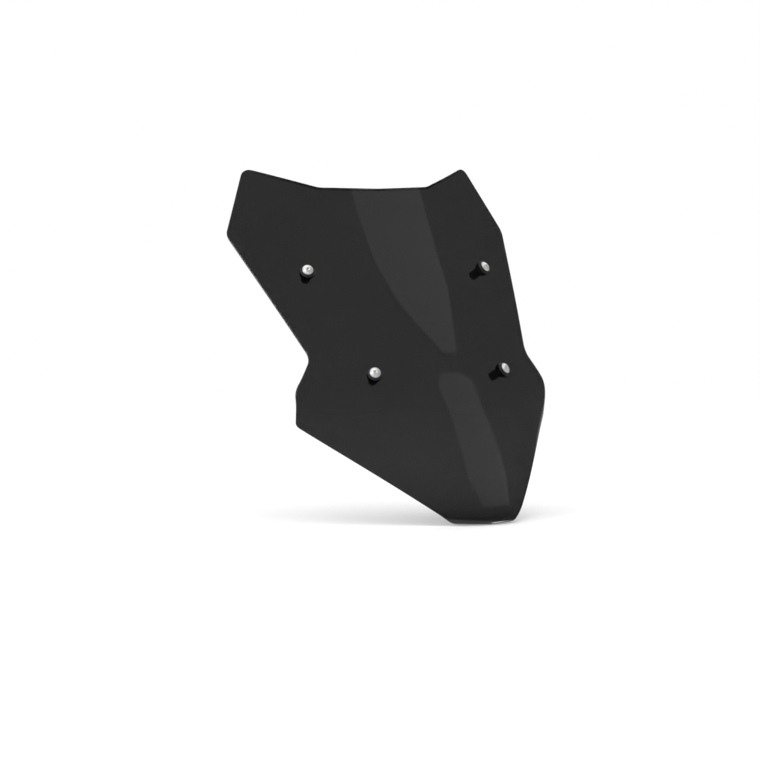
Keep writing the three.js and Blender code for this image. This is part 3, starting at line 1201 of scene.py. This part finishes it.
@dataclass(frozen=True)
class Studio:
    """Pale floor, even pale light and two soft panels that the polished sheet mirrors. Sizes in metres."""

    camera_place: Triple = (-2.41432, -3.60446, 0.23755)
    camera_azimuth: float = -33.0
    camera_dip: float = 3.2154
    lens: float = 190.72
    sensor: float = 36.0
    clip: tuple[float, float] = (0.1, 100.0)
    floor_drop: float = 0.0005
    floor_fade: tuple[float, float] = (0.7, 2.2)
    floor_rings: tuple[float, ...] = (0.0, 0.5, 1.0, 2.0, 4.0, 8.0, 16.0, 30.0)
    floor_spokes: int = 96
    lamps: tuple[Lamp, ...] = (
        Lamp("overhead", (0.25, 0.35, 3.0), 2.2, 14.0),
        Lamp("behind", (2.2, 2.2, 1.7), 1.6, 30.0),
        Lamp("beside", (-3.0, -0.3, 1.3), 1.4, 40.0),
    )
    backdrop: float = 1.0
    dim_front: float = 0.03
    dim_azimuth: float = 28.5
    bright_round: float = 1.1
    behind_edge: tuple[float, float] = (-0.06, -0.3)
    above_edge: tuple[float, float] = (0.89, 0.94)
    below_edge: tuple[float, float] = (-0.3, -0.5)
    panel_azimuth: float = 11.0
    panel_tilt: float = 40.0
    panel_distance: float = 0.4811
    panel_glow: float = 0.28
    lower_panel: tuple[tuple[float, float], ...] = (
        (0.21, 0.15), (0.145, 0.12), (0.14, 0.065), (0.1, -0.03), (0.035, -0.15), (0.11, -0.255),
        (1.1, -0.24), (0.905, -0.125), (0.725, -0.06), (0.51, 0.05), (0.45, 0.15), (0.35, 0.16),
    )
    upper_panel: tuple[tuple[float, float], ...] = (
        (0.145, 0.4), (0.14, 0.33), (0.15, 0.31), (0.17, 0.275), (0.215, 0.242), (0.29, 0.197),
        (0.395, 0.205), (0.525, 0.335), (0.535, 0.41),
    )

    def camera(self) -> None:
        """Camera level with the sheet, off its right-hand bow."""
        turn, dip = math.radians(self.camera_azimuth), math.radians(self.camera_dip)
        ahead = Vector((-math.sin(turn) * math.cos(dip), math.cos(turn) * math.cos(dip), -math.sin(dip)))
        data = bpy.data.cameras.new("camera")
        data.lens, data.sensor_width = self.lens, self.sensor
        data.clip_start, data.clip_end = self.clip
        bpy.context.scene.camera = add_aimed("camera", data, self.camera_place, ahead)

    def floor(self, level: float) -> None:
        """Adds a wide round pale floor with the faintest mottle, which thins out to nothing.

        Args:
            level: its height.
        """
        angle = np.linspace(0, TURN, self.floor_spokes, endpoint=False)[:, None]
        radius = np.array(self.floor_rings)[None, :]
        flat = np.stack(np.broadcast_arrays(radius * np.cos(angle), radius * np.sin(angle), level), -1)
        made = mesh_object("floor", flat.reshape(-1, 3) / MM, grid_faces(*flat.shape[:2]))
        g = material_graph("floor_paper")
        mottle = g.spread(g.noise(g.place(), 3.0, 3.0), 0, 1)
        away = g.node("VectorMath", {0: g.place()}, operation="LENGTH").outputs["Value"]
        made.data.materials.append(g.surface({
            "Base Color": g.tint(mottle, (0.86, 0.86, 0.86), (0.88, 0.88, 0.88)),
            "Roughness": 0.9,
            "Specular IOR Level": 0.1,
            "Alpha": g.spread(away, 1.0, 0.0, *self.floor_fade),
        }))
        made.visible_glossy = False
        made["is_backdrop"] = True

    def panel(self, name: str, outline: Sequence[tuple[float, float]]) -> None:
        """Adds a flat glowing panel that leans over the sheet from in front, and that only mirrors show.

        Args:
            name: the panel's name.
            outline: its corners, across and up its own plane.
        """
        turn, tilt = math.radians(self.panel_azimuth), math.radians(self.panel_tilt)
        side = np.array([math.cos(turn), math.sin(turn), 0.0])
        level = np.array([math.sin(turn), -math.cos(turn), 0.0])
        ahead = level * math.cos(tilt) + np.array([0.0, 0.0, math.sin(tilt)])
        rise = -level * math.sin(tilt) + np.array([0.0, 0.0, math.cos(tilt)])
        corners = np.array([ahead * self.panel_distance + side * s + rise * h for s, h in outline])
        mesh = bpy.data.meshes.new(name)
        mesh.from_pydata(corners.tolist(), [], [tuple(range(len(outline)))])
        made = add_object(name, mesh)
        g = material_graph(name)
        glow = g.node("Emission", {"Color": (1.0, 0.99, 0.97, 1.0), "Strength": self.panel_glow})
        mesh.materials.append(g.close(glow.outputs["Emission"]))
        made.visible_camera = made.visible_transmission = made.visible_diffuse = made.visible_shadow = False
        made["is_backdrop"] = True

    def lights(self) -> None:
        """Adds the soft lamps, all clear of what the sheet mirrors."""
        for lamp in self.lamps:
            data = bpy.data.lights.new(lamp.name, "AREA")
            data.size, data.energy = lamp.side, lamp.watts
            add_aimed(lamp.name, data, lamp.place, -Vector(lamp.place))

    def surroundings(self) -> None:
        """Sets even pale light all round.

        Mirroring surfaces see it dim in front of the sheet, with soft edges towards the rear, overhead
        and the ground. A look through the sheet is a glossy ray too, so it is taken off again.
        """
        world = bpy.data.worlds.new("studio")
        bpy.context.scene.world = world
        g = Graph(world)
        turn = math.radians(self.dim_azimuth)
        front = (math.sin(turn), -math.cos(turn), 0.0)
        looked = g.node("TexCoord").outputs["Generated"]
        ahead = g.node("VectorMath", {0: looked, 1: front}, operation="DOT_PRODUCT").outputs["Value"]
        height = g.node("SeparateXYZ", {0: looked}).outputs["Z"]
        zones = [(ahead, self.behind_edge), (height, self.above_edge), (height, self.below_edge)]
        rear, above, below = (
            g.spread(where, self.dim_front, self.bright_round, *edge, "SMOOTHSTEP") for where, edge in zones
        )
        brightness = g.both("MAXIMUM", g.both("MAXIMUM", rear, above), below)
        pale = g.node("Background", {"Color": (1.0, 1.0, 1.0, 1.0), "Strength": self.backdrop})
        mirrored = g.node("Background", {"Color": (0.8, 0.8, 0.8, 1.0), "Strength": brightness})
        path = g.node("LightPath").outputs
        rays = {0: path["Is Glossy Ray"], 1: path["Is Transmission Ray"]}
        only = g.node("Math", rays, operation="SUBTRACT", use_clamp=True).outputs["Value"]
        shaders = {"Fac": only, 1: pale.outputs["Background"], 2: mirrored.outputs["Background"]}
        g.close(g.node("MixShader", shaders).outputs["Shader"])

    def build(self, level: float) -> None:
        """Sets the whole studio.

        Args:
            level: height of the object's lowest point.
        """
        self.camera()
        self.floor(level - self.floor_drop)
        self.panel("lower_panel", self.lower_panel)
        self.panel("upper_panel", self.upper_panel)
        self.lights()
        self.surroundings()
        view = bpy.context.scene.view_settings
        view.view_transform, view.look = "Standard", "None"
        LOG.info("studio set, floor at %.4f m", level - self.floor_drop)


def main() -> None:
    """Loads the frame, builds the studio, the sheet and the fixings, and logs what it makes."""
    logging.basicConfig(level=logging.INFO, format="%(name)s: %(message)s")
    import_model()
    cad_low, cad_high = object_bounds()
    Studio().build(cad_low.z)
    finishes = build_finishes()
    sheet, fixings = FormedSheet(), Fixings()
    sheet.origin = fixings.row_origin(sheet)
    frames = fixings.frames(sheet)
    sheet.build(list(frames.values()), finishes)
    for name, frame in frames.items():
        Stack(name, frame).build(finishes)
    bpy.context.view_layer.update()


if __name__ == "__main__":
    main()
